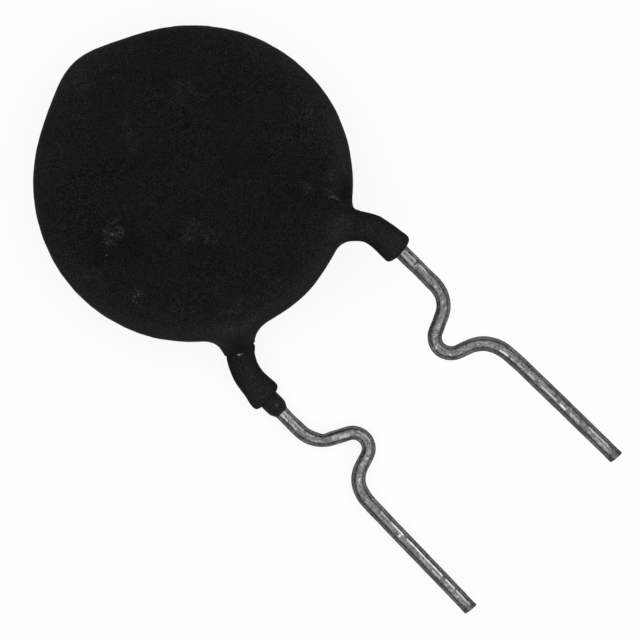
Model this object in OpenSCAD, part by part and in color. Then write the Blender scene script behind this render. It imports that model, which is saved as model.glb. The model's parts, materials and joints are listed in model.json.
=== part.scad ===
// Inrush current limiter: a ceramic thermistor disc in a dipped black coat,
// with two kinked wire leads, lying flat on its back.
// X runs across the two leads, Y along them with the free ends at -Y, and Z up.
// The origin is under the middle of the whole part, on the surface it lies on.

/* [Coated disc] */
// Diameter over the coat
coat_d = 30.7; // [30:0.1:32]
// Thickness over the flat faces of the coat
coat_t = 7.3; // [7.1:0.1:8]
// Width of the rounded rim, from the flat face out to the edge
rim_w = 3.2; // [2.6:0.1:3.6]
// Height of the hardened drip on the rim, opposite the leads
drip_h = 0.95; // [0.2:0.05:1.6]
// How far the rim is drawn in between the two necks
slack_h = 0.26; // [0:0.01:0.4]
// Height of the ridge that the coat forms over each wire
ridge_h = 0.8; // [0.7:0.05:1.2]

/* [Coated necks] */
// Diameter of the coat on the leads
neck_d = 3.0; // [2.8:0.1:3.2]
// How far the coat on the leads ran over to their left side
neck_shift = 0.12; // [0:0.02:0.2]
// Distance from the disc centre to the end of the coat on the front lead
front_neck_end = 18.9; // [18:0.1:20]
// Distance from the disc centre to the end of the coat on the back lead
back_neck_end = 20.0; // [19:0.1:20.5]
// Diameter of the first coat, where it shows past the back neck
collar_d = 2.05; // [1.8:0.05:2.3]
// Distance from the disc centre to the end of the first coat
collar_end = 21.65; // [21:0.05:22]

/* [Leads] */
// Diameter of the tinned copper wire
wire_d = 1.4; // [1.2:0.05:1.4]
// Distance between the leads at their free ends
lead_spacing = 20.2; // [19.5:0.1:21]
// Distance between the leads where they leave the necks
neck_spacing = 19.1; // [18.5:0.1:19.5]
// Distance from the disc centre to the free end of the front lead
front_reach = 47.0; // [42:0.5:60]
// Distance from the disc centre to the free end of the back lead
back_reach = 48.2; // [42:0.5:60]
// Distance from the disc centre to the kink of the front lead
front_kink = 24.95; // [24:0.05:27]
// Distance from the disc centre to the kink of the back lead
back_kink = 26.0; // [25:0.1:27]
// How far the corner of a kink points inwards
kink_in = 6.35; // [5:0.05:7]
// Length of a kink along the lead
kink_len = 5.5; // [5.2:0.1:6]

/* [Inside] */
// Diameter of the ceramic disc
ceramic_d = 28.0; // [26:0.1:28]
// Thickness of the ceramic disc
ceramic_t = 5.0; // [4.6:0.1:5]
// Diameter of the silver electrode on each face
electrode_d = 26.6; // [24:0.1:27]
// Thickness of each electrode
electrode_t = 0.1; // [0.05:0.05:0.15]

/* [Hidden] */

coat_r = coat_d / 2;
neck_r = neck_d / 2;
wire_r = wire_d / 2;
collar_r = collar_d / 2;
solder_film = 0.02;
// Height of each electrode's outer face above the middle of the disc
face_z = ceramic_t / 2 + electrode_t;
// Height of each wire's axis above or below the middle of the disc
wire_z = face_z + solder_film + wire_r;
// The lowest coat is under the back neck
lowest = wire_z + neck_r;
// Middle of the disc, seen from the middle of the whole part
disc_y = (back_reach - coat_r - drip_h) / 2;

// Where each wire ends on the disc, and how far from the disc's centre it turns down at the rim
front_inner_end = [-5.6, 0.2];
back_inner_end = [5.6, -1.2];
front_turn = 13.8;
back_turn = 16;
// Both leads sit a little to the left: in the necks and at their free ends
necks_left = 0.1;
ends_left = 0.05;
// How far each lead comes in from the rim to its kink, and goes out past the kink
rim_lean = 0.05;
front_step = 0.3;
back_step = 0.15;
// Where the point of the kink is, as a share of the kink's length
front_point = 0.55;
back_point = 0.62;
front_neck_x = neck_spacing / 2 - necks_left;
back_neck_x = -neck_spacing / 2 - necks_left;

// Each lead is a route through its corners, from the end that lies on the disc to the free end.
// The radii bend it at the rim, into the kink, at the kink's point and out of the kink.
front_route = [front_inner_end,
               [front_neck_x - rim_lean, -front_turn],
               [front_neck_x, -front_kink],
               [front_neck_x - kink_in, -front_kink - front_point * kink_len],
               [front_neck_x + front_step, -front_kink - kink_len],
               [lead_spacing / 2 - ends_left, -front_reach]];
front_radii = [11, 3, 1.55, 3.6];
back_route = [back_inner_end,
              [back_neck_x + rim_lean, -back_turn],
              [back_neck_x, -back_kink],
              [back_neck_x + kink_in, -back_kink - back_point * kink_len],
              [back_neck_x - back_step, -back_kink - kink_len],
              [-lead_spacing / 2 - ends_left, -back_reach]];
back_radii = [7.3, 3.1, 1.55, 3];

// A bend is this much slimmer than the straights, and runs this far into them
bend_slim = 0.004;
bend_run_in = 0.05;

// The bead that ends the first coat: its length, and its thickness at the wire
bead_len = 0.55;
bead_edge = 0.08;

// Steps of the coat's skin round the disc, across a face and over half the rim
round_steps = 72;
face_steps = 9;
rim_steps = 7;
// The rim's section is a superellipse: 2 is an ellipse, and more is squarer
rim_power = 2.6;
// Half widths of the drip and the slack stretch, in degrees, and of the ridge
drip_spread = 9.8;
slack_spread = 20;
ridge_spread = 1.5;
// Steps of a neck's skin, round it and along it
neck_sides = 20;
neck_step = 0.6;
// The coated neck starts this far back from its end, widens where it leaves the rim, more on its
// left side than on its right, and has a web of coat between it and the middle of the rim
neck_root = 9.5;
left_flare = 1.0;
right_flare = 0.15;
flare_len = 0.75;
web_h = 3.2;
// The neck's rounded shoulder: distances back from its end, and how full the neck is there
shoulder = [[0.3, 0.97], [0.1, 0.87], [0, 0.72]];
shoulder_len = 0.5;
// The solder mound's half width and height, how far it reaches past the wire's inner end, and
// its length as a share of the straight that it holds
solder_w = 1.5;
solder_h = 1.1;
solder_past = 0.5;
solder_share = 0.9;
// How the mound falls off to its ends, and its size at the very ends
solder_bow = 0.35;
solder_tip = 0.02;
// Steps of the mound, round it and along it
solder_sides = 16;
solder_rings = 10;
$fn = 48;

// Plane geometry of a route and its bends
function unit(v) = v / norm(v);
function heading(v) = atan2(v.y, v.x);
function wrapped(a) = a > 180 ? a - 360 : a < -180 ? a + 360 : a;
function turn_at(route, i) = wrapped(heading(route[i + 1] - route[i]) - heading(route[i] - route[i - 1]));
function trim_at(route, radii, i) =
    i == 0 || i == len(route) - 1 ? 0 : radii[i - 1] * tan(abs(turn_at(route, i)) / 2);
function bend_start(route, radii, i) =
    route[i] - unit(route[i] - route[i - 1]) * trim_at(route, radii, i);
function bend_end(route, radii, i) =
    route[i] + unit(route[i + 1] - route[i]) * trim_at(route, radii, i);
function side_of(turn) = turn > 0 ? 90 : -90;
function bend_centre(route, radii, i) =
    bend_start(route, radii, i)
    + radii[i - 1] * polar(heading(route[i] - route[i - 1]) + side_of(turn_at(route, i)));
function polar(a) = [cos(a), sin(a)];
// Distance from a point to the stretch of line from a to b
function off_line(p, a, b) =
    norm(p - a - (b - a) * max(0, min(1, ((p - a) * (b - a)) / ((b - a) * (b - a)))));

// Shape of the coat on the disc
function off_angle(a, middle) = abs(wrapped(a - middle));
function bell(x, width) = exp(-pow(x / width, 2) / 2);
function edge_r(a) =
    coat_r + drip_h * bell(off_angle(a, 90), drip_spread)
    - slack_h * bell(off_angle(a, -90), slack_spread);
// The ridge over a wire, at a place on the face
function ridge(p, route, radii) =
    ridge_h * bell(off_line(p, route[0], bend_start(route, radii, 1)), ridge_spread);
function face_height(p, route, radii) = coat_t / 2 + ridge(p, route, radii);
function rim_point(a, f) =
    let (bow = pow(cos(f), 2 / rim_power), lift = pow(sin(f), 2 / rim_power))
    [(edge_r(a) - rim_w * (1 - bow)) * polar(a), lift];

// A ring of the skin on one side, from the rim's middle line to the face
function skin_ring(f, route, radii, side) =
    [for (i = [0 : round_steps - 1])
        let (a = 360 * i / round_steps, spot = rim_point(a, f))
        [spot[0].x, spot[0].y, side * spot[1] * face_height(spot[0], route, radii)]];
function face_ring(n, route, radii, side) =
    [for (i = [0 : round_steps - 1])
        let (a = 360 * i / round_steps, p = (edge_r(a) - rim_w) * n / face_steps * polar(a))
        [p.x, p.y, side * face_height(p, route, radii)]];

function total(points, i = 0) = i == len(points) ? [0, 0, 0] : points[i] + total(points, i + 1);
function middle(ring) = total(ring) / len(ring);

// A closed skin through rings of points, each end closed by a fan to one point. Seen along the
// skin from its first ring, the rings run clockwise, and the other way round where facing is -1.
module skin(rings, first, last, facing = 1) {
    n = len(rings[0]);
    count = len(rings);
    points = concat([first], [for (ring = rings) each ring], [last]);
    walls = [for (r = [0 : count - 2], i = [0 : n - 1])
        let (a = 1 + r * n + i, b = 1 + r * n + (i + 1) % n)
        each [[a, a + n, b + n], [a, b + n, b]]];
    start_fan = [for (i = [0 : n - 1]) [0, 1 + i, 1 + (i + 1) % n]];
    end_fan = [for (i = [0 : n - 1])
        [1 + count * n, 1 + (count - 1) * n + (i + 1) % n, 1 + (count - 1) * n + i]];
    faces = concat(start_fan, walls, end_fan);
    polyhedron(points, facing > 0 ? faces : [for (f = faces) [f[0], f[2], f[1]]]);
}

// The coat on the disc, ridged in front over the front wire and behind over the back wire
module disc_skin() {
    back_face = [for (n = [1 : face_steps - 1]) face_ring(n, back_route, back_radii, -1)];
    back_rim = [for (n = [rim_steps : -1 : 1])
        skin_ring(90 * n / rim_steps, back_route, back_radii, -1)];
    front_rim = [for (n = [0 : rim_steps]) skin_ring(90 * n / rim_steps, front_route, front_radii, 1)];
    front_face = [for (n = [face_steps - 1 : -1 : 1]) face_ring(n, front_route, front_radii, 1)];
    skin(concat(back_face, back_rim, front_rim, front_face),
         [0, 0, -face_height([0, 0], back_route, back_radii)],
         [0, 0, face_height([0, 0], front_route, front_radii)]);
}

// A place near the rim on a lead's axis and the direction there, at a distance past the rim bend,
// or before its end where the distance is negative
function place_at(route, radii, d) =
    let (turn = turn_at(route, 1), arc = radii[0] * abs(turn) * PI / 180,
         out = unit(route[2] - route[1]), in = unit(route[1] - route[0]),
         bent = heading(out) + turn * d / arc)
    d >= 0 ? [bend_end(route, radii, 1) + out * d, out]
    : d < -arc ? [bend_start(route, radii, 1) + in * (d + arc), in]
    : [bend_centre(route, radii, 1) - radii[0] * polar(bent + side_of(turn)), polar(bent)];

// The coat that ran down a lead: it flares into the rim and ends in a rounded shoulder
module neck_skin(route, radii, side, neck_end) {
    last = neck_end + bend_end(route, radii, 1).y;
    sections = concat([for (back = [neck_root : -neck_step : shoulder_len]) [back, 1]], shoulder);
    rings = [for (section = sections)
        let (place = place_at(route, radii, last - section[0]),
             p = place[0], along = place[1], full = section[1],
             past_rim = norm(p) - coat_r,
             spread = bell(past_rim, flare_len),
             web = web_h * bell(max(past_rim, 0), flare_len))
        [for (i = [0 : neck_sides - 1])
            let (a = 360 * i / neck_sides,
                 flare = (cos(a) < 0 ? left_flare : right_flare) * spread,
                 across = (neck_r + flare) * full * cos(a),
                 up = sin(a) * (neck_r * full + (sin(a) * side < 0 ? web : 0)))
            [p.x - neck_shift - along.y * across, p.y + along.x * across, side * wire_z + up]]];
    skin(rings, middle(rings[0]), middle(rings[len(rings) - 1]));
}

// A round wire along a route. Its bends are a hair slimmer than its straights and run a little
// way into them.
module wire(route, radii, side) {
    translate([0, 0, side * wire_z]) {
        for (i = [0 : len(route) - 2]) {
            from = i == 0 ? route[0] : bend_end(route, radii, i);
            to = i == len(route) - 2 ? route[i + 1] : bend_start(route, radii, i + 1);
            translate([from.x, from.y, 0])
                rotate([0, 90, heading(to - from)])
                    cylinder(h = norm(to - from), r = wire_r);
        }
        for (i = [1 : len(route) - 2]) {
            centre = bend_centre(route, radii, i);
            turn = turn_at(route, i);
            first = heading(bend_start(route, radii, i) - centre);
            run_in = bend_run_in / radii[i - 1] * 180 / PI;
            translate([centre.x, centre.y, 0])
                rotate([0, 0, (turn > 0 ? first : first + turn) - run_in])
                    rotate_extrude(angle = abs(turn) + 2 * run_in)
                        translate([radii[i - 1], 0])
                            circle(r = wire_r - bend_slim);
        }
    }
}

// A mound of solder along the wire on one electrode, flat where it wets the silver
module solder(route, radii, side) {
    inner = route[0];
    outer = bend_start(route, radii, 1);
    along = unit(outer - inner);
    reach = solder_share * norm(outer - inner);
    // Each ring is a half round, and its size falls off towards both ends of the mound
    rings = [for (n = [0 : solder_rings])
        let (f = n / solder_rings,
             p = inner + along * (reach * f - solder_past),
             size = pow(max(sin(180 * f), solder_tip), solder_bow))
        [for (i = [0 : solder_sides - 1])
            let (a = 180 * i / (solder_sides - 1),
                 across = solder_w * size * cos(a),
                 up = solder_h * size * sin(a))
            [p.x - along.y * across, p.y + along.x * across, side * (face_z + up)]]];
    skin(rings, middle(rings[0]), middle(rings[len(rings) - 1]), side);
}

module ceramic_body() {
    cylinder(h = ceramic_t, d = ceramic_d, center = true);
}

module electrode(side) {
    translate([0, 0, side > 0 ? ceramic_t / 2 : -face_z])
        cylinder(h = electrode_t, d = electrode_d);
}

// First coat on the back lead: it starts under the neck and ends in a rounded bead
module first_coat_body() {
    from = bend_end(back_route, back_radii, 1);
    length = collar_end + from.y;
    translate([from.x, from.y, -wire_z])
        rotate([0, 90, heading(back_route[2] - back_route[1])]) {
            cylinder(h = length - bead_len, r = collar_r);
            translate([0, 0, length - bead_len])
                cylinder(h = bead_len, r1 = collar_r, r2 = wire_r + bead_edge);
        }
}

// Places a piece that is drawn about the disc's centre
module placed() {
    translate([0, disc_y, lowest])
        children();
}

module coating() {
    color([0.05, 0.05, 0.05])
        placed()
            difference() {
                union() {
                    disc_skin();
                    neck_skin(front_route, front_radii, 1, front_neck_end);
                    neck_skin(back_route, back_radii, -1, back_neck_end);
                }
                ceramic_body();
                for (side = [-1, 1])
                    electrode(side);
                solder(front_route, front_radii, 1);
                solder(back_route, back_radii, -1);
                wire(front_route, front_radii, 1);
                wire(back_route, back_radii, -1);
                first_coat_body();
            }
}

module first_coat() {
    color([0.02, 0.02, 0.02])
        placed()
            difference() {
                first_coat_body();
                wire(back_route, back_radii, -1);
            }
}

module thermistor_disc() {
    color([0.22, 0.2, 0.19])
        placed()
            ceramic_body();
}

module electrode_front() {
    color([0.85, 0.85, 0.83])
        placed()
            electrode(1);
}

module electrode_back() {
    color([0.85, 0.85, 0.83])
        placed()
            electrode(-1);
}

module solder_front() {
    color([0.6, 0.61, 0.63])
        placed()
            difference() {
                solder(front_route, front_radii, 1);
                wire(front_route, front_radii, 1);
            }
}

module solder_back() {
    color([0.6, 0.61, 0.63])
        placed()
            difference() {
                solder(back_route, back_radii, -1);
                wire(back_route, back_radii, -1);
            }
}

module lead_front() {
    color([0.5, 0.5, 0.49])
        placed()
            wire(front_route, front_radii, 1);
}

module lead_back() {
    color([0.5, 0.5, 0.49])
        placed()
            wire(back_route, back_radii, -1);
}

coating();
first_coat();
thermistor_disc();
electrode_front();
electrode_back();
solder_front();
solder_back();
lead_front();
lead_back();
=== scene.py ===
"""Inrush current limiter: its dipped black coat and its tinned wire leads, built around the frame."""

import itertools
import json
import math

import bpy
import numpy as np
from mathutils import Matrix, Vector


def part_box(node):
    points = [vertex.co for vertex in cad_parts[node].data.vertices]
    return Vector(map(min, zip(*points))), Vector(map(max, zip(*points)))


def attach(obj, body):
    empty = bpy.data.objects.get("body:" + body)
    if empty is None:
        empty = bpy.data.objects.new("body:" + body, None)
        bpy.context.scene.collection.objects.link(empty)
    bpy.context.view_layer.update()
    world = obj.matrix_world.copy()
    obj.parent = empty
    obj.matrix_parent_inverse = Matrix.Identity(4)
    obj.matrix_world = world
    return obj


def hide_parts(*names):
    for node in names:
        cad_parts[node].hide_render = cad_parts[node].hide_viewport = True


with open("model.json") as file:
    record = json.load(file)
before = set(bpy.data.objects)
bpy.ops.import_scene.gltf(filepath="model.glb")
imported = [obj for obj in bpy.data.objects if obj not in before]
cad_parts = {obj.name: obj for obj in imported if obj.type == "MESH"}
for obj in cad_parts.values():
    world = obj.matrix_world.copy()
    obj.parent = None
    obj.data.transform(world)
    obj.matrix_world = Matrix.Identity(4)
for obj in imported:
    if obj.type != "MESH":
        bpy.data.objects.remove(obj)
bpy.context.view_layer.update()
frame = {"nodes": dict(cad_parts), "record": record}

# Shapes are worked out in millimetres about the middle of the ceramic disc
MM = 0.001


def middle(node):
    low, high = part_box(node)
    return (low + high) / 2


DISC = middle("thermistor_disc")
FLOOR_Z = -DISC.z / MM
WIRE_R = frame["record"]["mounts"][0]["dims"]["r_mm"]
WIRE_Z = (middle("lead_front").z - DISC.z) / MM

# The coat on the disc, with the drip opposite the leads and a thin place inside of each neck
COAT_R = 15.26
COAT_T = 7.3
RIM_W = 3.2
RIM_POWER = 2.6
# The least size of that section, at the disc's middle, so that nothing is divided by zero
CORE = 0.05
DRIP_H = 0.97
DRIP_SPREAD = math.radians(10.2)
SLACKS = ((math.radians(-103), 0.09), (math.radians(-78), 0.08))
SLACK_SPREAD = math.radians(6.5)
RIDGE_H = 0.8
RIDGE_SPREAD = 1.5
# How the disc is out of round: waves round it, their height, and the direction of a crest
OUT_OF_ROUND = ((1, 0.045, math.radians(-90)), (2, 0.08, math.radians(-28)), (3, 0.036, math.radians(-26)))

# The coat on the leads: its radius, the web that joins it to the rim, with how far it runs out along
# the lead and into the disc, and its thin root in the disc
NECK_R = 1.5
WEB_H = 3.2
WEB_OUT = 0.75
WEB_IN = 1.0
ROOT_FROM = 6.5
ROOT_TO = 10.5
ROOT_THIN = 0.4
SHOULDER_R = 0.34
SHOULDER_SLOPE = 0.32
# The shoulder's east side ends a little earlier than its west side
SHOULDER_LEAN = 0.05

# The lip of the disc's coat over the back neck: how far before the neck's end its edge is, how far
# that edge runs back on the east flank, its thickness, its edge's radius, and the crease under it
LIP_BACK = 5.38
LIP_SWEEP = 1.0
LIP_H = 0.12
LIP_R = 0.06
CREASE_DEPTH = 0.06
CREASE_LEN = 0.07

# Uneven skin of the coat: sizes, heights and seeds of its waves
SWELLS = ((6.0, 0.012, 288), (2.2, 0.012, 396), (0.8, 0.007, 2))
WAVES = 9

# Cells of the coat's skin: fine across the necks, and coarse on the rest of the disc. Each stretch
# gives where it starts and its cells' size, and the last one where the grid ends.
FINE = 0.13
COARSE = 0.3
THROUGH = 0.15
CELLS_ACROSS = ((-16.5, COARSE), (-12.0, FINE), (-5.5, COARSE), (5.5, FINE), (12.0, COARSE), (16.5, 0))
CELLS_ALONG = ((-20.6, FINE), (-12.5, COARSE), (17.2, 0))
CELLS_THROUGH = ((-5.4, THROUGH), (5.4, 0))

# Settling that skin: its rounds, the pulls onto the field in each, and the least squared slope
SETTLE_ROUNDS = 3
SETTLE_PULLS = 2
FLATTEST = 0.1

# Rings of the leads
RING_STEP = 0.1
RING_SIDES = 64


def wrapped(angle):
    return (angle + math.pi) % (2 * math.pi) - math.pi


def bell(x, width):
    return np.exp(-0.5 * (x / width) ** 2)


def smooth_step(x):
    x = np.clip(x, 0, 1)
    return x * x * (3 - 2 * x)


def eased(x, stops):
    """A smooth curve through a few stops, level at each of them."""
    value = np.full(np.shape(x), float(stops[0][1]))
    for (a, low), (b, high) in zip(stops, stops[1:]):
        value += (high - low) * smooth_step((x - a) / (b - a))
    return value


def blend_min(a, b, width):
    """The union of two fields, with a fillet about that wide."""
    mix = np.clip(0.5 + 0.5 * (b - a) / width, 0, 1)
    return b + (a - b) * mix - width * mix * (1 - mix)


def round_max(a, b, radius):
    """Where both fields are inside, with an edge of that radius."""
    over = np.hypot(np.maximum(a + radius, 0), np.maximum(b + radius, 0))
    return np.minimum(np.maximum(a, b) + radius, 0) + over - radius


def ripples(points, size, seed):
    """Uneven waves of about that size, about 1 high."""
    chance = np.random.default_rng(seed)
    directions = chance.normal(size=(WAVES, 3))
    phases = chance.uniform(0, 2 * math.pi, WAVES)
    total = np.zeros(len(points))
    for direction, phase in zip(directions, phases):
        total += np.sin(points @ direction * (math.pi / size) + phase)
    return total / math.sqrt(WAVES / 2)


class Route:
    """The centre line of a lead in plan: straights between corners, with a bend at each corner."""

    def __init__(self, corners, radii):
        corners = np.array(corners, float)
        steps = np.diff(corners, axis=0)
        lengths = np.linalg.norm(steps, axis=1)
        headings = np.arctan2(steps[:, 1], steps[:, 0])
        turns = [wrapped(b - a) for a, b in zip(headings, headings[1:])]
        trims = [0] + [r * math.tan(abs(t) / 2) for r, t in zip(radii, turns)] + [0]
        # Each part: the distance it starts at, its length, start point, heading and curvature
        self.parts = []
        self.length = 0
        for i, heading in enumerate(headings):
            ahead = np.array([math.cos(heading), math.sin(heading)])
            start = corners[i] + ahead * trims[i]
            self.add(lengths[i] - trims[i] - trims[i + 1], start, heading, 0)
            if i < len(turns):
                start = corners[i + 1] - ahead * trims[i + 1]
                self.add(radii[i] * abs(turns[i]), start, heading, math.copysign(1 / radii[i], turns[i]))

    def add(self, length, start, heading, curvature):
        self.parts.append((self.length, length, start, heading, curvature))
        self.length += length

    @staticmethod
    def spot(part, d):
        """Points and headings at distances along one part."""
        _, _, start, heading, curvature = part
        ahead = heading + curvature * d
        if curvature == 0:
            ahead = np.full(len(d), heading)
            return start + d[:, None] * np.array([math.cos(heading), math.sin(heading)]), ahead
        centre = start + np.array([-math.sin(heading), math.cos(heading)]) / curvature
        return centre + np.stack([np.sin(ahead), -np.cos(ahead)], 1) / curvature, ahead

    def at(self, distances):
        """Points and headings at distances along the whole route."""
        points = np.zeros((len(distances), 2))
        headings = np.zeros(len(distances))
        for part in self.parts:
            own = distances >= part[0]
            points[own], headings[own] = self.spot(part, distances[own] - part[0])
        return points, headings

    def nearest(self, points, count):
        """How far along the first few parts each point is, and how far to the left of them."""
        along = np.zeros(len(points))
        across = np.full(len(points), np.inf)
        for part in self.parts[:count]:
            begin, length, start, heading, curvature = part
            if curvature == 0:
                d = (points - start) @ np.array([math.cos(heading), math.sin(heading)])
            else:
                centre = start + np.array([-math.sin(heading), math.cos(heading)]) / curvature
                out = (points - centre) * curvature
                d = wrapped(np.arctan2(out[:, 0], -out[:, 1]) - heading) / curvature
            d = np.clip(d, 0, length)
            foot, ahead = self.spot(part, d)
            off = points - foot
            left = np.cos(ahead) * off[:, 1] - np.sin(ahead) * off[:, 0]
            gap = np.copysign(np.linalg.norm(off, axis=1), left)
            closer = np.abs(gap) < np.abs(across)
            along[closer] = begin + d[closer]
            across[closer] = gap[closer]
        return along, across


class Lead:
    """One lead: its route, the side of the disc it lies on, and the coat on it."""

    # The coated stretch follows the first straight, the bend at the rim and the next straight
    COATED_PARTS = 3

    def __init__(self, name, side, corners, radii, neck_end, east, west, fillets):
        self.name = name
        self.side = side
        self.z = side * WIRE_Z
        self.route = Route(corners, radii)
        self.neck_stop = self.down_to(-neck_end)
        self.on_disc = (corners[0], self.route.parts[1][2])
        # Half widths of the neck on its east and west sides: pairs of a distance before its end and
        # the half width there
        self.east = east
        self.west = west
        # Widths of the fillets between the rim and the neck's two sides
        self.fillets = fillets

    def down_to(self, y):
        """How far along the lead a place in the straight past the rim is."""
        begin, _, start, _, _ = self.route.parts[2]
        return begin + start[1] - y


# The kinks: how far in they reach, their length, and how far down it each one's peak is
KINK_IN = 6.35
KINK_LEN = 5.5
FRONT_PEAK = 0.55
BACK_PEAK = 0.62
FRONT_X = 9.45
BACK_X = -9.65
FRONT_KINK = 24.95
BACK_KINK = 26.0
FRONT_REACH = 47.0
BACK_REACH = 48.2
FRONT = Lead(
    "lead_front", 1,
    [(-5.6, 0.2), (FRONT_X - 0.05, -13.8), (FRONT_X, -FRONT_KINK),
     (FRONT_X - KINK_IN, -FRONT_KINK - FRONT_PEAK * KINK_LEN), (FRONT_X + 0.3, -FRONT_KINK - KINK_LEN),
     (10.05, -FRONT_REACH)],
    (11, 3, 1.55, 3.6), neck_end=18.85,
    east=((0.7, 1.46), (1.9, 1.41), (3.3, 1.43), (5.3, 1.16)),
    west=((0.6, 1.67), (3.5, 1.43), (6.4, 2.25)), fillets=(1.4, 1.4))
BACK = Lead(
    "lead_back", -1,
    [(5.6, -1.2), (BACK_X + 0.05, -16), (BACK_X, -BACK_KINK),
     (BACK_X + KINK_IN, -BACK_KINK - BACK_PEAK * KINK_LEN), (BACK_X - 0.15, -BACK_KINK - KINK_LEN),
     (-10.15, -BACK_REACH)],
    (7.3, 3.1, 1.55, 3), neck_end=19.96,
    east=((0.7, 1.61), (4.1, 1.19), (5.0, 1.21), (5.9, 1.33), (6.7, 1.2)),
    west=((0.6, 1.67), (2.0, 1.48), (3.6, 1.62), (5.3, 1.62), (6.1, 1.9), (7.0, 2.1)), fillets=(2.0, 2.05))
COLLAR_END = 21.68
COLLAR_R = 1.01
COLLAR_ROUND = 0.74
# How far the collar bulges to the left of the wire
COLLAR_OFF = 0.015
# How bluntly it rounds off, its thickness at the very end, and the size, height and seed of its waves
COLLAR_BLUNT = 0.8
COLLAR_EDGE = 0.02
COLLAR_WAVE_SIZE = 1.0
COLLAR_WAVE_H = 0.02
COLLAR_WAVE_SEED = 11


def ridge(points, lead):
    """Height of the ridge that the coat forms over the wire on the face."""
    a, b = (np.array(end, float) for end in lead.on_disc)
    share = np.clip((points[:, :2] - a) @ (b - a) / ((b - a) @ (b - a)), 0, 1)
    off = np.linalg.norm(points[:, :2] - a - share[:, None] * (b - a), axis=1)
    return RIDGE_H * bell(off, RIDGE_SPREAD)


def disc_field(points):
    """The coat on the disc: flat faces with a ridge each, and a superellipse for the rim's section."""
    x, y, z = points.T
    angle = np.arctan2(y, x)
    edge = COAT_R + DRIP_H * bell(wrapped(angle - math.pi / 2), DRIP_SPREAD)
    for direction, depth in SLACKS:
        edge -= depth * bell(wrapped(angle - direction), SLACK_SPREAD)
    for count, height, crest in OUT_OF_ROUND:
        edge += height * np.cos(count * (angle - crest))
    half = COAT_T / 2 + np.where(z > 0, ridge(points, FRONT), ridge(points, BACK))
    rim = np.maximum(np.hypot(x, y) - edge + RIM_W, 0) / RIM_W
    flat = np.abs(z) / half
    size = np.maximum((rim ** RIM_POWER + flat ** RIM_POWER) ** (1 / RIM_POWER), CORE)
    slope = np.hypot((rim / size) ** (RIM_POWER - 1) / RIM_W, (flat / size) ** (RIM_POWER - 1) / half)
    return (size - 1) / slope


def neck_fields(points, lead):
    """The coat on a lead, and where a lip lies over it, the end of that lip as a second field."""
    along, across = lead.route.nearest(points[:, :2], Lead.COATED_PARTS)
    back = lead.neck_stop - along
    up = points[:, 2] - lead.z
    past_rim = np.hypot(points[:, 0], points[:, 1]) - COAT_R
    web = WEB_H * bell(past_rim, np.where(past_rim > 0, WEB_OUT, WEB_IN))
    root = 1 - (1 - ROOT_THIN) * smooth_step((back - ROOT_FROM) / (ROOT_TO - ROOT_FROM))
    wide = np.where(across > 0, eased(back, lead.east), eased(back, lead.west)) * root
    tall = NECK_R * root + np.where(up * lead.side < 0, web, 0)
    spread = np.hypot(across / wide, up / tall)
    size = np.minimum(wide, tall)
    tube = (spread - 1) * size
    shoulder = SHOULDER_SLOPE * (spread * NECK_R - WIRE_R) + SHOULDER_LEAN * across
    cap = (shoulder - back) / math.hypot(1, SHOULDER_SLOPE)
    fillet = eased(across, ((-NECK_R, lead.fillets[1]), (NECK_R, lead.fillets[0])))
    if lead.side > 0:
        return round_max(tube, cap, SHOULDER_R), None, fillet
    # The lip is thin or nothing underneath, where the part rests
    above = smooth_step(up / NECK_R + 1)
    lip_end = LIP_BACK + LIP_SWEEP * smooth_step(2 * across / wide - 1)
    crease = CREASE_DEPTH * above * bell(back - lip_end + CREASE_LEN, CREASE_LEN)
    neck = round_max(tube + crease, cap, SHOULDER_R)
    return neck, round_max(tube - LIP_H * above, lip_end - back, LIP_R), fillet


def coat_field(points):
    """The outer skin of the whole coat: below zero inside it."""
    front, _, front_fillet = neck_fields(points, FRONT)
    back, lip, back_fillet = neck_fields(points, BACK)
    shape = blend_min(disc_field(points), front, front_fillet)
    shape = np.minimum(blend_min(shape, lip, back_fillet), back)
    for size, height, seed in SWELLS:
        shape = shape + height * ripples(points, size, seed)
    # It is flat where it rests on the floor
    return np.maximum(shape, FLOOR_Z - points[:, 2])


def marks(stretches):
    """Places along an axis: each stretch gives where it starts and its step, and the last its end."""
    parts = [np.arange(start, end, step) for (start, step), (end, _) in zip(stretches, stretches[1:])]
    return np.append(np.concatenate(parts), stretches[-1][0])


def surface_net(field, axes):
    """A skin of quads on a field's zero level, with one point in each cell that it crosses."""
    counts = np.array([len(axis) for axis in axes])
    grid = np.stack(np.meshgrid(*axes, indexing="ij"), -1)
    inside = field(grid.reshape(-1, 3)).reshape(counts) < 0
    filled = np.zeros(counts - 1, int)
    for corner in itertools.product((0, 1), repeat=3):
        filled += inside[tuple(slice(c, c + n - 1) for c, n in zip(corner, counts))]
    crossed = (filled > 0) & (filled < 8)
    index = np.full(crossed.shape, -1)
    index[crossed] = np.arange(crossed.sum())
    centres = [(axis[:-1] + axis[1:]) / 2 for axis in axes]
    points = np.stack([centre[i] for centre, i in zip(centres, np.nonzero(crossed))], 1)
    quads = []
    for axis in range(3):
        u, v = (axis + 1) % 3, (axis + 2) % 3
        before = np.take(inside, np.arange(counts[axis] - 1), axis)
        after = np.take(inside, np.arange(1, counts[axis]), axis)
        spots = np.argwhere(before != after)
        around = []
        for back_u, back_v in ((0, 0), (1, 0), (1, 1), (0, 1)):
            cells = spots.copy()
            cells[:, u] -= back_u
            cells[:, v] -= back_v
            around.append(index[tuple(cells.T)])
        quad = np.stack(around, 1)
        facing_back = after[tuple(spots.T)]
        quad[facing_back] = quad[facing_back][:, ::-1]
        quads.append(quad)
    return points, np.concatenate(quads)


def slope_of(field, points, reach=0.01):
    steps = np.eye(3) * reach
    return np.stack([field(points + s) - field(points - s) for s in steps], 1) / (2 * reach)


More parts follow.
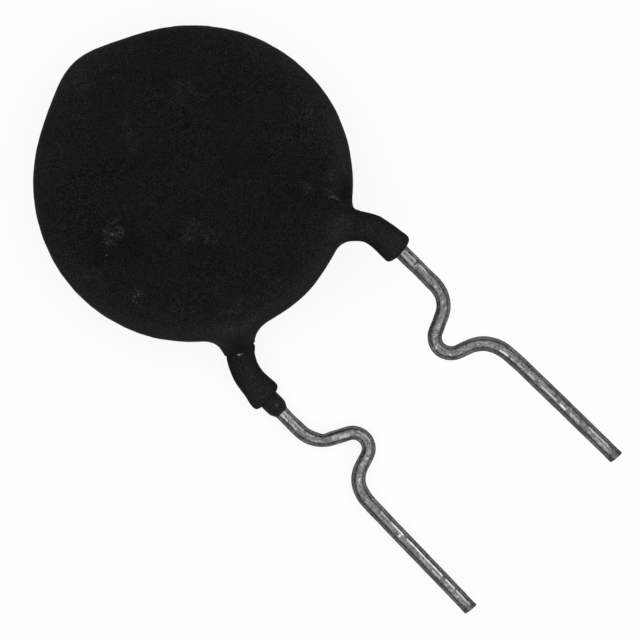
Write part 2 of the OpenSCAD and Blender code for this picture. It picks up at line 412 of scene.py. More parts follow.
def settle(points, quads, field, cell):
    """Evens the points out and puts them on the field's zero level."""
    for _ in range(SETTLE_ROUNDS):
        total = np.zeros_like(points)
        count = np.zeros(len(points))
        for i in range(4):
            a, b = quads[:, i], quads[:, (i + 1) % 4]
            for here, there in ((a, b), (b, a)):
                np.add.at(total, here, points[there])
                np.add.at(count, here, 1)
        points = 0.5 * points + 0.5 * total / count[:, None]
        for _ in range(SETTLE_PULLS):
            slope = slope_of(field, points)
            move = field(points)[:, None] * slope / np.maximum((slope ** 2).sum(1), FLATTEST)[:, None]
            points = points - np.clip(move, -cell / 2, cell / 2)
    return points


def mesh_piece(name, points, faces, material, replaced):
    """A smooth mesh of points in millimetres about the disc, in place of a CAD node."""
    mesh = bpy.data.meshes.new(name)
    mesh.from_pydata((points * MM + np.array(DISC)).tolist(), [], [list(map(int, f)) for f in faces])
    mesh.polygons.foreach_set("use_smooth", np.ones(len(mesh.polygons), bool))
    mesh.materials.append(material)
    piece = bpy.data.objects.new(name, mesh)
    bpy.context.scene.collection.objects.link(piece)
    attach(piece, "root")
    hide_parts(replaced)
    return piece


def swept(route, z, distances, radii, shift=0.0, sway=0.0):
    """Rings round a route at some distances. radii has a row for each ring and a column round it,
    shift moves the points on along the route, and sway moves each ring to the left."""
    centres, headings = route.at(distances)
    ahead = np.stack([np.cos(headings), np.sin(headings)], -1)
    left = np.stack([-ahead[:, 1], ahead[:, 0]], -1)
    centres = centres + left * np.broadcast_to(sway, distances.shape)[:, None]
    turn = np.linspace(0, 2 * math.pi, radii.shape[1], endpoint=False)
    across = radii * np.cos(turn)
    shift = np.broadcast_to(shift, radii.shape)
    points = np.zeros(radii.shape + (3,))
    points[..., :2] = (centres[:, None] + left[:, None] * across[..., None]
                       + ahead[:, None] * shift[..., None])
    points[..., 2] = z + radii * np.sin(turn)
    straight = np.stack([across, radii * np.sin(turn), distances[:, None] + shift], -1)
    return points.reshape(-1, 3), straight.reshape(-1, 3)


def ring_walls(rings, sides):
    """Quads between rings that follow each other."""
    first = np.arange(rings - 1)[:, None] * sides
    here = first + np.arange(sides)
    beside = first + (np.arange(sides) + 1) % sides
    return np.stack([here, beside, beside + sides, here + sides], -1).reshape(-1, 4).tolist()


def keep(piece, name, kind, values):
    """Keeps a value for each point of a mesh, for its material."""
    attribute = piece.data.attributes.new(name, kind, "POINT")
    attribute.data.foreach_set("vector" if kind == "FLOAT_VECTOR" else "value",
                               np.asarray(values, np.float32).ravel())


# How the wire's radius changes along both leads, stretched in the bends: distance and change
GIRTH = ((29.0, 0.012), (31.0, -0.012), (38.5, -0.01), (41.5, 0.022), (44.5, 0.01))
# Its fine waver: size, height, seed, and how much longer than wide its waves are
WAVER_SIZE = 0.8
WAVER_H = 0.008
WAVER_SEED = 7
WAVER_STRETCH = 3

# How far each wire strays to its left in its bends: distance and offset
FRONT_SWAY = ((29.5, 0), (31.9, 0.06), (33.6, 0.03), (36.0, -0.07), (38.6, -0.075), (40.4, -0.045),
              (42.3, -0.09), (44.8, 0), (48.5, 0), (54.0, -0.035))
BACK_SWAY = ((33.5, 0), (35.8, 0.02), (40.2, -0.03), (41.6, 0.045), (43.5, 0))

# Directions round a wire are in degrees from its left side towards the top. A dent: distance along
# the lead, direction, depth and length.
FRONT_DENTS = ((25.6, 182, -0.05, 0.7), (28.3, 5, 0.03, 0.6), (29.2, 182, -0.045, 0.3),
               (30.7, 185, 0.03, 0.25), (31.6, 180, 0.03, 0.5), (33.2, 180, 0.03, 0.3))
BACK_DENTS = ((27.4, 2, 0.05, 0.8), (31.55, 5, 0.12, 0.35))
# How narrow a dent is round the wire
DENT_POWER = 4
# A streak of painted glint, also polished smoother: distances from and to, direction, width in degrees and
# brightness
FRONT_GLINT_STREAKS = ((25.1, 26.7, 66, 3.4, 0.4), (27.0, 28.1, 67, 3.2, 0.6), (25.1, 26.7, 103, 4, 0.3),
                 (29.4, 29.9, 102, 6, 0.3), (31.1, 31.5, 95, 7, 0.2), (31.7, 32.0, 72, 5, 0.3),
                 (33.3, 34.0, 80, 8, 0.15), (34.6, 34.8, 100, 4, 0.5), (35.5, 35.8, 106, 4, 0.6),
                 (36.8, 37.1, 102, 4, 0.5), (41.9, 43.1, 108, 3.4, 0.9), (43.3, 43.8, 108, 3.2, 0.4),
                 (44.2, 45.0, 103, 3.2, 0.25), (45.4, 46.4, 101, 3.2, 0.35), (47.2, 49.3, 101, 3.4, 0.5),
                 (49.6, 50.5, 102, 3.6, 1.0), (51.0, 52.2, 98, 4, 0.3), (53.1, 55.9, 71, 3.2, 0.5),
                 (54.2, 56.0, 100, 4, 0.2))
BACK_GLINT_STREAKS = ((26.6, 29.3, 68, 3.2, 0.3), (29.6, 30.7, 69, 4, 0.4), (26.6, 27.6, 104, 4, 0.6),
                (27.7, 28.8, 101, 4, 0.3), (30.4, 31.3, 101, 4, 0.25), (32.4, 33.0, 85, 14, 0.2),
                (33.0, 34.3, 100, 8, 0.3), (34.9, 36.3, 69, 3.4, 0.3), (36.9, 37.6, 85, 8, 0.2),
                (37.7, 38.1, 82, 6, 0.4), (38.3, 38.9, 90, 9, 0.15), (39.9, 40.4, 82, 8, 0.3),
                (44.0, 45.3, 68, 3.2, 0.55), (45.4, 47.3, 68, 3.2, 0.95), (47.7, 52.8, 68, 3.2, 1.0),
                (53.1, 54.5, 68, 3.2, 0.9), (54.6, 56.6, 69, 3.0, 0.75), (46.9, 47.2, 94, 9, 0.7),
                (49.8, 50.9, 96, 4, 0.2), (51.6, 52.8, 96, 3.6, 0.35), (54.2, 54.5, 96, 4, 0.3),
                (55.1, 55.3, 98, 5, 0.8))
GLINT_STREAK_FADE = 0.12

# The cutter's nick on the front lead, a groove over the top and the left side
NICK_Y = -20.56
NICK_DEPTH = 0.05
NICK_LEN = 0.04
# Painted shade in the nick's groove
NICK_SHADE = 0.85
# The rings about it: how far they reach each way, and their step
NICK_SPAN = 4 * NICK_LEN
NICK_STEP = NICK_LEN / 3
# The direction of its middle, how far round it reaches from there, and how soon it eases out
NICK_MIDDLE = math.radians(40)
NICK_REACH = math.radians(66)
NICK_EASE = math.radians(17)
# The sheared end: its burr on the left, its rounded edge, how far its left side stands on and the
# length over which it does, and the grime on the smeared tin before it and on its face
BURR_AT = math.radians(10)
BURR_H = 0.05
BURR_LEN = 0.12
BURR_POWER = 3
EDGE_CUT = 0.05
EDGE_LEN = 0.07
END_SLANT = 0.06
SLANT_LEN = 1.0
SMEAR_LEN = 0.6
SMEAR = 0.35
FACE_GRIME = 0.5
# Rings close to the end, as distances before it, and rings of the face, as shares of its radius
END_RINGS = (0.3, 0.22, 0.15, 0.1, 0.06, 0.03, 0.01, 0)
FACE_RINGS = (0.8, 0.35)


def towards(angles, direction, power):
    """1 in a direction round the wire, and down to 0 on the far side of it."""
    return np.maximum(np.cos(angles - direction), 0) ** power


def wire(lead, material, sway, dents, glint_streaks, nick=None):
    """A drawn wire along a lead's route, with tool marks, painted glint streaks, painted shade in its nick
    and a sheared end.
    """
    end = lead.route.length
    distances = [np.arange(0, end - END_RINGS[0], RING_STEP), end - np.array(END_RINGS)]
    if nick is not None:
        distances.append(np.arange(nick - NICK_SPAN, nick + NICK_SPAN, NICK_STEP))
    distances = np.unique(np.concatenate(distances))
    turn = np.linspace(0, 2 * math.pi, RING_SIDES, endpoint=False)
    s, a = np.meshgrid(distances, turn, indexing="ij")
    rings = np.stack([np.cos(a) * WIRE_R, np.sin(a) * WIRE_R, s / WAVER_STRETCH], -1).reshape(-1, 3)
    waver = ripples(rings, WAVER_SIZE, WAVER_SEED).reshape(s.shape)
    radii = WIRE_R + eased(s, GIRTH) + WAVER_H * waver
    for place, direction, depth, length in dents:
        radii -= depth * bell(s - place, length) * towards(a, math.radians(direction), DENT_POWER)
    # Streaks of painted glint, also polished smoother
    polish_and_glint = np.zeros(s.shape)
    for begin, stop, direction, width, bright in glint_streaks:
        inside = smooth_step((s - begin) / GLINT_STREAK_FADE) * smooth_step((stop - s) / GLINT_STREAK_FADE)
        off = wrapped(a - math.radians(direction))
        polish_and_glint = np.maximum(polish_and_glint, bright * inside * bell(off, math.radians(width)))
    grime_and_shade = SMEAR * bell(end - s, SMEAR_LEN)
    if nick is not None:
        groove = bell(s - nick, NICK_LEN)
        groove *= smooth_step((NICK_REACH - np.abs(wrapped(a - NICK_MIDDLE))) / NICK_EASE)
        radii -= NICK_DEPTH * groove
        # Painted shade in the nick's groove, over the grime on the smeared tin
        grime_and_shade = np.maximum(grime_and_shade, NICK_SHADE * groove)
    radii += BURR_H * np.exp((s - end) / BURR_LEN) * towards(a, BURR_AT, BURR_POWER)
    radii -= EDGE_CUT * smooth_step(1 - (end - s) / EDGE_LEN)
    # The sheared face: more rings and a middle point
    radii = np.vstack([radii, np.array(FACE_RINGS)[:, None] * radii[-1]])
    distances = np.append(distances, [end] * len(FACE_RINGS))
    slant = END_SLANT * smooth_step(1 - (end - distances[:, None]) / SLANT_LEN) * radii / WIRE_R
    slant = slant * np.cos(turn - BURR_AT)
    points, straight = swept(lead.route, lead.z, distances, radii, slant, eased(distances, sway))
    rows = len(distances)
    faces = ring_walls(rows, RING_SIDES)
    middles = [points[row * RING_SIDES:(row + 1) * RING_SIDES].mean(0) for row in (0, rows - 1)]
    points = np.vstack([points, middles])
    straight = np.vstack([straight, [[0, 0, 0], [0, 0, end]]])
    first, last, top = len(points) - 2, len(points) - 1, (rows - 1) * RING_SIDES
    for i in range(RING_SIDES):
        j = (i + 1) % RING_SIDES
        faces.append([first, j, i])
        faces.append([last, top + i, top + j])
    piece = mesh_piece(lead.name.replace("lead", "wire"), points, faces, material, lead.name)
    keep(piece, "straight", "FLOAT_VECTOR", straight)
    spare = len(FACE_RINGS) * RING_SIDES + 2
    keep(piece, "polish_and_glint", "FLOAT", np.append(polish_and_glint, np.zeros(spare)))
    keep(piece, "grime_and_shade", "FLOAT", np.append(grime_and_shade, np.full(spare, FACE_GRIME)))
    return piece


SLEEVE_START = 1.2
SLEEVE_RINGS = 48


def sleeve(lead, material):
    """The end of the first coat: a bead round the wire, with its bore."""
    start = lead.neck_stop - SLEEVE_START
    end = lead.down_to(-COLLAR_END)
    along = np.linspace(start, end, SLEEVE_RINGS)
    full = smooth_step((end - along) / COLLAR_ROUND) ** COLLAR_BLUNT
    outer = WIRE_R + COLLAR_EDGE + (COLLAR_R - WIRE_R - COLLAR_EDGE) * full
    turn = np.linspace(0, 2 * math.pi, RING_SIDES, endpoint=False)
    s, a = np.meshgrid(along, turn, indexing="ij")
    skin = np.stack([outer[:, None] * np.cos(a), outer[:, None] * np.sin(a), s], -1).reshape(-1, 3)
    waves = ripples(skin, COLLAR_WAVE_SIZE, COLLAR_WAVE_SEED).reshape(s.shape)
    radii = outer[:, None] + COLLAR_WAVE_H * full[:, None] * waves
    radii = np.vstack([radii, np.full((2, RING_SIDES), WIRE_R)])
    off = COLLAR_OFF * np.append(full, [0, 0])
    points, _ = swept(lead.route, lead.z, np.append(along, [end, start]), radii, sway=off)
    faces = ring_walls(len(radii), RING_SIDES)
    last = (len(radii) - 1) * RING_SIDES
    for i in range(RING_SIDES):
        j = (i + 1) % RING_SIDES
        faces.append([last + i, last + j, j, i])
    return mesh_piece("bead_first_coat", points, faces, material, "first_coat")


# Materials

def new_material(name):
    material = bpy.data.materials.new(name)
    material.use_nodes = True
    material.node_tree.nodes.clear()
    return material


def add(tree, kind, settings=None, **inputs):
    """A shader node, with its inputs set to a value or linked to a socket."""
    node = tree.nodes.new("ShaderNode" + kind)
    for key, value in (settings or {}).items():
        setattr(node, key, value)
    for key, value in inputs.items():
        socket = node.inputs[key.replace("_", " ")]
        if isinstance(value, bpy.types.NodeSocket):
            tree.links.new(value, socket)
        else:
            socket.default_value = value
    return node


def maths(tree, operation, *values):
    """A Math node on one or more values or sockets."""
    node = add(tree, "Math", {"operation": operation})
    for socket, value in zip(node.inputs, values):
        if isinstance(value, bpy.types.NodeSocket):
            tree.links.new(value, socket)
        else:
            socket.default_value = value
    return node.outputs[0]


def noise(tree, place, size, detail=2.0, roughness=0.5):
    """Noise with patches of about that size, in millimetres."""
    return add(tree, "TexNoise", Vector=place, Scale=1 / size, Detail=detail,
               Roughness=roughness).outputs["Fac"]


def graded(tree, value, low, high, to_low=0.0, to_high=1.0):
    """Maps a value from one range to another, held at both ends."""
    return add(tree, "MapRange", Value=value, From_Min=low, From_Max=high, To_Min=to_low,
               To_Max=to_high).outputs[0]


def tinted(tree, value, stops):
    """A colour ramp over a value: pairs of position and colour."""
    ramp = add(tree, "ValToRGB", Fac=value)
    elements = ramp.color_ramp.elements
    while len(elements) < len(stops):
        elements.new(0.5)
    for element, (position, colour) in zip(elements, stops):
        element.position = position
        element.color = (*colour, 1)
    return ramp.outputs["Color"]


def bump(tree, height, depth, under=None):
    """A bump of that depth in millimetres, over another one."""
    node = add(tree, "Bump", Height=height, Distance=depth * MM)
    if under is not None:
        tree.links.new(under, node.inputs["Normal"])
    return node.outputs["Normal"]


def object_place(tree):
    """Place on the object, in millimetres."""
    place = add(tree, "TexCoord").outputs["Object"]
    return add(tree, "VectorMath", {"operation": "SCALE"}, Vector=place, Scale=1 / MM).outputs[0]


def grey(value, warm=0.0):
    return (value * (1 + warm), value, value * (1 - warm))


def output(tree, shader):
    add(tree, "OutputMaterial", Surface=shader.outputs[0])


def combined(tree, operation, vector, other):
    """A Vector Math node on a socket and a plain vector or a second socket."""
    node = add(tree, "VectorMath", {"operation": operation})
    tree.links.new(vector, node.inputs[0])
    if isinstance(other, bpy.types.NodeSocket):
        tree.links.new(other, node.inputs[1])
    else:
        node.inputs[1].default_value = other
    return node.outputs["Value" if operation == "DISTANCE" else "Vector"]


def near(tree, place, spot, reach):
    """1 at a spot and 0 from that far away, in millimetres from the disc's middle."""
    centre = [value / MM + off for value, off in zip(DISC, spot)]
    return graded(tree, combined(tree, "DISTANCE", place, centre), 0, reach, 1, 0)


def strayed(tree, place, size, reach):
    """Places moved about by noise of a size, by up to about that reach."""
    stray = add(tree, "TexNoise", Vector=place, Scale=1 / size, Detail=3.0).outputs["Color"]
    stray = combined(tree, "SUBTRACT", stray, (0.5, 0.5, 0.5))
    return combined(tree, "ADD", place, combined(tree, "MULTIPLY", stray, (2 * reach,) * 3))


def mixed(tree, share, base, colour):
    """A share of a plain colour over another one."""
    node = add(tree, "Mix", {"data_type": "RGBA"}, Factor=share)
    tree.links.new(base, node.inputs[6])
    node.inputs[7].default_value = (*colour, 1)
    return node.outputs[2]


def highest(tree, values):
    """The largest of some values."""
    top = values[0]
    for value in values[1:]:
        top = maths(tree, "MAXIMUM", top, value)
    return top


def weighed(tree, *parts):
    """The sum of some values, each with its weight."""
    total = None
    for value, weight in parts:
        scaled = maths(tree, "MULTIPLY", value, weight)
        total = scaled if total is None else maths(tree, "ADD", total, scaled)
    return total


# Faint dust on the front face: places from the disc's middle, how far each smudge spreads, and how
# much of it there is
DUST = ((-8.59, 1.83, 1.5, 1.0), (-3.1, -3.4, 1.5, 0.7), (-2.27, -5.16, 1.1, 0.9),
        (-11.57, -3.87, 1.0, 0.5), (-0.9, 7.7, 1.6, 0.55), (-1.9, 6.2, 1.2, 0.4), (5.6, 6.05, 2.0, 0.35),
        (-0.6, 14.0, 1.4, 0.4), (-3.9, 13.4, 1.4, 0.3), (-4.3, 0.95, 1.2, 0.5), (12.3, -2.7, 1.8, 0.4),
        (9.0, -9.5, 1.2, 0.6), (7.2, -8.2, 1.0, 0.45), (-5.1, -10.9, 1.6, 0.35), (3.5, -6.9, 0.4, 0.6),
        (3.2, -8.6, 0.5, 0.8), (-13.0, 0.4, 1.3, 0.3))
# Scuffs on the crease beside the front neck: places and how far each spreads
SCUFFS = ((7.79, -10.17, 0.3), (8.12, -10.33, 0.3), (8.46, -10.57, 0.32), (8.7, -10.93, 0.3),
          (8.87, -11.28, 0.28), (8.94, -11.6, 0.25), (8.46, -11.51, 0.22), (8.55, -11.8, 0.22),
          (8.6, -12.04, 0.2))
# Single pale specks on the front face: places and radii, and how far past its radius each one fades
SPECKS = ((-8.8, 1.68, 0.14), (-8.47, 1.48, 0.08), (-9.14, 2.55, 0.07), (-11.75, -4.48, 0.08),
          (-11.08, -4.08, 0.1), (-11.48, -3.94, 0.09), (-11.82, -4.14, 0.07), (-13.42, 1.48, 0.08),
          (-12.95, -1.13, 0.06), (-8.54, -8.9, 0.06), (3.11, -7.56, 0.1), (2.84, -9.03, 0.08),
          (-6.93, -1.27, 0.07), (-10.61, 0.68, 0.07), (6.66, -12.31, 0.06), (1.7, 12.19, 0.06))
SPECK_FADE = 1.4
# The painted glint on the lip of the disc's coat, over the back lead, and its tail: places and radii
LIP_GLINTS = ((-8.54, -14.73, -1.7, 0.2), (-8.3, -14.84, -1.7, 0.15))
# A painted glint on the collar of first coat: place and radius
FIRST_GLINT = (-9.4, -20.8, -2.35, 0.22)

# A painted sheen greys the coat near the rim and on the leads: distances in plan from a middle
# a little towards the drip, and how much painted sheen they add
SHEEN_MIDDLE = 0.4
PAINTED_SHEEN = ((9.0, 0.0003), (12.3, 0.0018), (13.8, 0.005), (14.9, 0.0155), (15.6, 0.014), (16.6, 0.008),
        (19.2, 0.0085), (21.5, 0.0115))
FARTHEST = 22.0
# The painted sheen is left off, as painted shade, where the front neck leaves the rim: the place, how far
# it spreads, and from what nearness on it is fully left off, 1 being at the place
ROOT_SHADE = (8.8, -12.0, 2.2, 3.6)
ROOT_SHADE_FULL = 0.6

# The outer coat: its hardly greenish tint, the shares of grain, mottle and clouds in its tone, its greys
# from the lowest tone to the highest, the greys of what lies on it, and the grey of a painted glint
RESIN_TINT = (0.97, 1.0, 0.97)
RESIN_SHARES = (0.68, 0.19, 0.13)
RESIN_GREYS = ((0.4, 0.0028), (0.5, 0.0063), (0.6, 0.0148))
RESIN_SPECULAR = 0.015
DUST_GREY = 0.065
SCUFF_GREY = 0.13
SPECK_GREY = 0.07
LIP_GLINT_GREY = 0.35
# Dust lies unevenly: the size of its wanderings and how far they go
DUST_WANDER = (2.0, 1.6)

# The first coat: hardly reddish, with the shares of grain and mottle in its tone
FIRST_WARMTH = 0.03
FIRST_SHARES = (0.6, 0.4)
FIRST_GREYS = ((0.4, 0.003), (0.6, 0.019))
FIRST_SPECULAR = 0.07
# The grey of the painted glint on the collar
FIRST_GLINT_GREY = 0.05


def resin(value):
    """A grey of the resin, hardly greenish."""
    return tuple(value * part for part in RESIN_TINT)


def resin_coat():
    """Dull black dipped resin, finely grained and faintly mottled, with a little pale dust and painted
    sheen, shade and glint.
    """
    material = new_material("outer_coat")
    tree = material.node_tree
    place = object_place(tree)
    grain = noise(tree, place, size=0.1, detail=1)
    mottle = noise(tree, place, size=0.6, detail=4, roughness=0.7)
    cloud = noise(tree, place, size=5.0, detail=3)
    tone = weighed(tree, *zip((grain, mottle, cloud), RESIN_SHARES))
    base = tinted(tree, tone, [(spot, resin(value)) for spot, value in RESIN_GREYS])
    # Painted sheen greys the coat towards the rim and on the leads, and less at the front neck's root, as
    # painted shade
    level = combined(tree, "MULTIPLY", place, (1, 1, 0))
    outwards = combined(tree, "DISTANCE", level, (DISC.x / MM, DISC.y / MM + SHEEN_MIDDLE, 0))
    sheen = tinted(tree, graded(tree, outwards, 0, FARTHEST),
                  [(distance / FARTHEST, resin(value)) for distance, value in PAINTED_SHEEN])
    # Painted shade: the painted sheen is left off at the front neck's root
    sheen_share = graded(tree, near(tree, place, ROOT_SHADE[:3], ROOT_SHADE[3]), 0, ROOT_SHADE_FULL, 1, 0)
    grainy = graded(tree, grain, low=0.35, high=0.65, to_low=0.4)
    sheen_share = maths(tree, "MULTIPLY", sheen_share, grainy)
    sheened = add(tree, "Mix", {"data_type": "RGBA", "blend_type": "ADD"}, Factor=sheen_share)
    tree.links.new(base, sheened.inputs[6])
    tree.links.new(sheen, sheened.inputs[7])
    base = sheened.outputs[2]
    loose = strayed(tree, place, *DUST_WANDER)
    smudge = highest(tree, [maths(tree, "MULTIPLY", near(tree, loose, (x, y, COAT_T / 2), reach), share)
                            for x, y, reach, share in DUST])
    pale = graded(tree, noise(tree, place, size=0.2, detail=3, roughness=0.7), low=0.4, high=0.7)
    patchy = graded(tree, noise(tree, place, size=0.9, detail=3, roughness=0.6), low=0.38, high=0.6)
    dusty = maths(tree, "MULTIPLY", maths(tree, "MULTIPLY", pale, patchy), smudge)
    base = mixed(tree, dusty, base, grey(DUST_GREY))
    scuffs = highest(tree, [near(tree, place, (x, y, COAT_T / 2), reach) for x, y, reach in SCUFFS])
    base = mixed(tree, maths(tree, "MULTIPLY", pale, scuffs), base, grey(SCUFF_GREY))
    spots = [near(tree, place, (x, y, COAT_T / 2), SPECK_FADE * radius) for x, y, radius in SPECKS]
    base = mixed(tree, highest(tree, spots), base, grey(SPECK_GREY))
    # A painted glint on the lip over the back lead
    lip_glints = [near(tree, place, (x, y, z), radius) for x, y, z, radius in LIP_GLINTS]
    base = mixed(tree, highest(tree, lip_glints), base, grey(LIP_GLINT_GREY))
    normal = bump(tree, mottle, depth=0.05)
    normal = bump(tree, grain, depth=0.02, under=normal)
    rough = graded(tree, mottle, low=0.3, high=0.7, to_low=0.62, to_high=0.85)
    shader = add(tree, "BsdfPrincipled", Base_Color=base, Normal=normal, Roughness=rough)
    shader.inputs["Specular IOR Level"].default_value = RESIN_SPECULAR
    output(tree, shader)
    return material


def first_resin():
    """The first coat: blacker and a little smoother than the outer one."""
    material = new_material("first_coat")
    tree = material.node_tree
    place = object_place(tree)
    grain = noise(tree, place, size=0.14, detail=2, roughness=0.6)
    mottle = noise(tree, place, size=0.5, detail=3)
    tone = weighed(tree, *zip((grain, mottle), FIRST_SHARES))
    base = tinted(tree, tone, [(spot, grey(value, FIRST_WARMTH)) for spot, value in FIRST_GREYS])
    # A painted glint on the collar
    base = mixed(tree, near(tree, place, FIRST_GLINT[:3], FIRST_GLINT[3]), base, grey(FIRST_GLINT_GREY))
    normal = bump(tree, mottle, depth=0.04)
    normal = bump(tree, grain, depth=0.02, under=normal)
    rough = graded(tree, mottle, low=0.3, high=0.7, to_low=0.5, to_high=0.7)
    shader = add(tree, "BsdfPrincipled", Base_Color=base, Normal=normal, Roughness=rough)
    shader.inputs["Specular IOR Level"].default_value = FIRST_SPECULAR
    output(tree, shader)
    return material


# The wires' tin: its slightly yellowish green tint, the shares of drawn lines, speckle, mottle and
# patches in its tone, its greys from the lowest tone to the highest, and the greys of its edges, of a
# painted glint streak and of grime and painted shade
TIN_TINT = (0.97, 1.0, 0.95)
TIN_SHARES = (0.2, 0.35, 0.3, 0.15)
TIN_GREYS = ((0.38, 0.058), (0.5, 0.137), (0.62, 0.28))
TIN_EDGE_GREY = 0.25
GLINT_GREY = 0.85
GRIME_AND_SHADE_GREY = 0.04
# How much its lines are drawn out along the wire
DRAWN = (1, 1, 0.12)


def tin_grey(value):
    """A grey of the tin, a little yellowish green."""
    return tuple(value * part for part in TIN_TINT)


def tinned():
    """Dull tinned copper, drawn along the wire: mottled, with painted glint streaks, and grime and painted
    shade in its marks.
    """
    material = new_material("tinned_wire")
    tree = material.node_tree
    place = add(tree, "Attribute", {"attribute_name": "straight"}).outputs["Vector"]
    drawn = combined(tree, "MULTIPLY", place, DRAWN)
    lines = noise(tree, drawn, size=0.1, detail=3, roughness=0.6)
    speckle = noise(tree, place, size=0.13, detail=1)
    tin = noise(tree, place, size=0.35, detail=3, roughness=0.6)
    patches = noise(tree, place, size=1.3, detail=3, roughness=0.6)
    tone = weighed(tree, *zip((lines, speckle, tin, patches), TIN_SHARES))
    base = tinted(tree, tone, [(spot, tin_grey(value)) for spot, value in TIN_GREYS])
    polish_and_glint = add(tree, "Attribute", {"attribute_name": "polish_and_glint"}).outputs["Fac"]
    polish_and_glint = maths(tree, "MULTIPLY", polish_and_glint, graded(tree, tin, low=0.38, high=0.5, to_low=0.75))
    grime_and_shade = add(tree, "Attribute", {"attribute_name": "grime_and_shade"}).outputs["Fac"]
    # Painted glint streaks
    base = mixed(tree, polish_and_glint, base, grey(GLINT_GREY))
    # Grime at the sheared end, and painted shade in the nick
    base = mixed(tree, grime_and_shade, base, grey(GRIME_AND_SHADE_GREY))
    normal = bump(tree, patches, depth=0.03)
    normal = bump(tree, tin, depth=0.03, under=normal)
    normal = bump(tree, speckle, depth=0.012, under=normal)
    normal = bump(tree, lines, depth=0.01, under=normal)
    rough = graded(tree, tone, low=0.36, high=0.64, to_low=0.38, to_high=0.24)
    # A painted glint streak is also polished smoother
    rough = maths(tree, "SUBTRACT", rough, maths(tree, "MULTIPLY", polish_and_glint, 0.12))
    shader = add(tree, "BsdfPrincipled", {"distribution": "GGX"}, Base_Color=base, Normal=normal,
                 Metallic=1.0, Roughness=rough)
    shader.inputs["Specular Tint"].default_value = (*grey(TIN_EDGE_GREY), 1)
    output(tree, shader)
    return material


# Colours of the pieces sealed in the coat, from the lowest tone to the highest
CERAMIC_TONES = ((0.35, (0.03, 0.027, 0.024)), (0.65, (0.075, 0.068, 0.06)))
SILVER_TONES = ((0.3, (0.62, 0.61, 0.58)), (0.7, (0.86, 0.85, 0.82)))
SOLDER_TONES = ((0.3, (0.42, 0.43, 0.45)), (0.7, (0.66, 0.67, 0.69)))


def sintered():
    """Dark sintered oxide, fine grained and a little uneven."""
    material = new_material("thermistor_ceramic")
    tree = material.node_tree
    place = object_place(tree)
    grain = noise(tree, place, size=0.15, detail=4, roughness=0.7)
    cloud = noise(tree, place, size=3.0, detail=3)
    base = tinted(tree, weighed(tree, (grain, 0.6), (cloud, 0.4)), CERAMIC_TONES)
    rough = graded(tree, cloud, low=0.3, high=0.7, to_low=0.6, to_high=0.8)
    normal = bump(tree, grain, depth=0.02)
    output(tree, add(tree, "BsdfPrincipled", Base_Color=base, Normal=normal, Roughness=rough))
    return material


def silvered():
    """Fired silver film, matt, with the weave of its screen print."""
    material = new_material("silver_film")
    tree = material.node_tree
    place = object_place(tree)
    weave = add(tree, "TexWave", {"wave_type": "BANDS"}, Vector=place, Scale=3.0, Distortion=0.6)
    grain = noise(tree, place, size=0.2, detail=3, roughness=0.6)
    tone = weighed(tree, (weave.outputs["Fac"], 0.3), (grain, 0.7))
    base = tinted(tree, tone, SILVER_TONES)
    rough = graded(tree, grain, low=0.3, high=0.7, to_low=0.4, to_high=0.6)
    normal = bump(tree, tone, depth=0.01)
    output(tree, add(tree, "BsdfPrincipled", Base_Color=base, Metallic=1.0, Normal=normal,
                     Roughness=rough))
    return material


def soldered():
    """Tin solder, frozen smooth with soft hollows."""
    material = new_material("solder")
    tree = material.node_tree
    place = object_place(tree)
    frost = noise(tree, place, size=0.4, detail=4, roughness=0.6)
    hollows = noise(tree, place, size=1.8, detail=2)
    base = tinted(tree, frost, SOLDER_TONES)
    rough = graded(tree, frost, low=0.3, high=0.7, to_low=0.22, to_high=0.42)
    normal = bump(tree, hollows, depth=0.1)
    normal = bump(tree, frost, depth=0.02, under=normal)
    output(tree, add(tree, "BsdfPrincipled", Base_Color=base, Metallic=1.0, Normal=normal,
                     Roughness=rough))
    return material


# The stage: a pale floor, a pale wall round the horizon, a soft lamp and the camera. The floor's half
# width in metres, its two greys, the size of its patches, and how bright it looks to the camera
FLOOR_HALF = 3.0
FLOOR_GREYS = (0.095, 0.105)
FLOOR_PATCH = 40
FLOOR_GLOW = 0.89


def floor():
    """Pale paper, lit a little by the lamp and shown near white to the camera."""
    material = new_material("floor")
    tree = material.node_tree
    path = add(tree, "LightPath").outputs
    seen = maths(tree, "MAXIMUM", path["Is Camera Ray"],
                 maths(tree, "MAXIMUM", path["Is Glossy Ray"], path["Is Transmission Ray"]))
    paper = noise(tree, object_place(tree), size=FLOOR_PATCH, detail=2)
    colour = tinted(tree, paper, [(0.3, grey(FLOOR_GREYS[0])), (0.7, grey(FLOOR_GREYS[1]))])
    glow = maths(tree, "MULTIPLY", seen, FLOOR_GLOW)
    shader = add(tree, "BsdfPrincipled", Base_Color=colour, Roughness=0.9, Emission_Color=(1, 1, 1, 1),
                 Emission_Strength=glow)
    shader.inputs["Specular IOR Level"].default_value = 0.0
    output(tree, shader)
    half = FLOOR_HALF
    corners = [(-half, -half, 0), (half, -half, 0), (half, half, 0), (-half, half, 0)]
    mesh = bpy.data.meshes.new("floor")
    mesh.from_pydata(corners, [], [(0, 1, 2, 3)])
    mesh.materials.append(material)
    made = bpy.data.objects.new("floor", mesh)
    bpy.context.scene.collection.objects.link(made)


# The wall is pale up to the first height and dim from the second, as the sine of the elevation
WALL_TOP = (0.13, 0.2)
WALL_PALE = 0.95
WALL_DIM = 0.12


def surroundings():
    """A pale backdrop just round the horizon, and dim walls and ceiling."""
    world = bpy.data.worlds.new("studio")
    world.use_nodes = True
    tree = world.node_tree
    tree.nodes.clear()
    direction = add(tree, "TexCoord").outputs["Generated"]
    height = add(tree, "SeparateXYZ", Vector=direction).outputs["Z"]
    strength = graded(tree, height, *WALL_TOP, WALL_PALE, WALL_DIM)
    shader = add(tree, "Background", Color=(1, 1, 1, 1), Strength=strength)
    add(tree, "OutputWorld", Surface=shader.outputs[0])
    bpy.context.scene.world = world


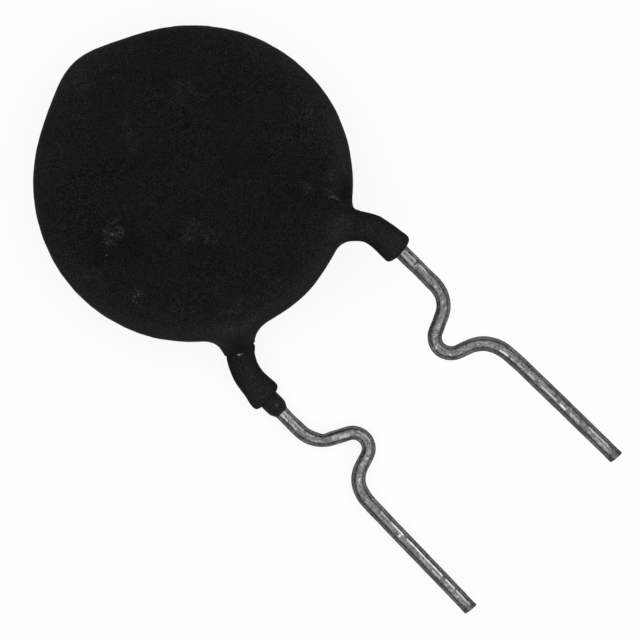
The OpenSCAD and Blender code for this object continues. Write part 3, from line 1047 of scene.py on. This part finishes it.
# A large round softbox overhead: its distance and width in metres, how far it leans along X and Y
# for its height, and its share of the floor's light, of which the walls give the rest
LAMP_FAR = 0.6
LAMP_WIDE = 1.5
LAMP_LEAN = (0.05, -0.09)
LAMP_SHARE = 0.87


def lamp():
    """The softbox, which the camera doesn't see."""
    out = Vector((*LAMP_LEAN, 1)).normalized()
    light = bpy.data.lights.new("softbox", "AREA")
    light.shape = "DISK"
    light.size = LAMP_WIDE
    light.energy = LAMP_SHARE * math.pi ** 2 * (LAMP_FAR ** 2 + (LAMP_WIDE / 2) ** 2) / out.z
    made = bpy.data.objects.new("softbox", light)
    made.location = out * LAMP_FAR
    made.rotation_euler = out.to_track_quat("Z", "Y").to_euler()
    made.visible_camera = False
    bpy.context.scene.collection.objects.link(made)


# The photograph: pixels across, the leads' spacing in millimetres and in pixels, how far off the camera
# is, and the disc's place
PHOTO_PX = 640
LEADS_APART = 20
LEADS_APART_PX = 208.2
MM_PER_PX = LEADS_APART / LEADS_APART_PX
CAMERA_FAR = 250.0
DISC_PX = (192.7, 183.3)
LEADS_DOWN = math.radians(-45)


def camera():
    """Looks straight down, turned so that the leads run down to the right."""
    data = bpy.data.cameras.new("camera")
    data.sensor_fit = "HORIZONTAL"
    data.angle = 2 * math.atan(PHOTO_PX * MM_PER_PX / 2 / CAMERA_FAR)
    made = bpy.data.objects.new("camera", data)
    right = Vector((math.cos(LEADS_DOWN), math.sin(LEADS_DOWN), 0))
    up = Vector((-right.y, right.x, 0))
    shift = (right * (PHOTO_PX / 2 - DISC_PX[0]) - up * (PHOTO_PX / 2 - DISC_PX[1])) * MM_PER_PX * MM
    made.location = DISC + shift + Vector((0, 0, CAMERA_FAR * MM))
    made.rotation_euler = (0, 0, LEADS_DOWN)
    bpy.context.scene.collection.objects.link(made)
    bpy.context.scene.camera = made


def coat(material):
    """The skin of the whole coat, as one mesh."""
    axes = [marks(stretches) for stretches in (CELLS_ACROSS, CELLS_ALONG, CELLS_THROUGH)]
    points, quads = surface_net(coat_field, axes)
    points = settle(points, quads, coat_field, FINE)
    return mesh_piece("coat_dipped", points, quads, material, "coating")


camera()
floor()
surroundings()
lamp()
coat(resin_coat())
sleeve(BACK, first_resin())
TINNED = tinned()
wire(FRONT, TINNED, FRONT_SWAY, FRONT_DENTS, FRONT_GLINT_STREAKS, FRONT.down_to(NICK_Y))
wire(BACK, TINNED, BACK_SWAY, BACK_DENTS, BACK_GLINT_STREAKS)
for node, material in (("thermistor_disc", sintered()), ("electrode_front", silvered()),
                       ("electrode_back", silvered()), ("solder_front", soldered()),
                       ("solder_back", soldered())):
    made = frame["nodes"][node]
    made.data.materials.clear()
    made.data.materials.append(material)

bpy.context.scene.view_settings.view_transform = "Standard"
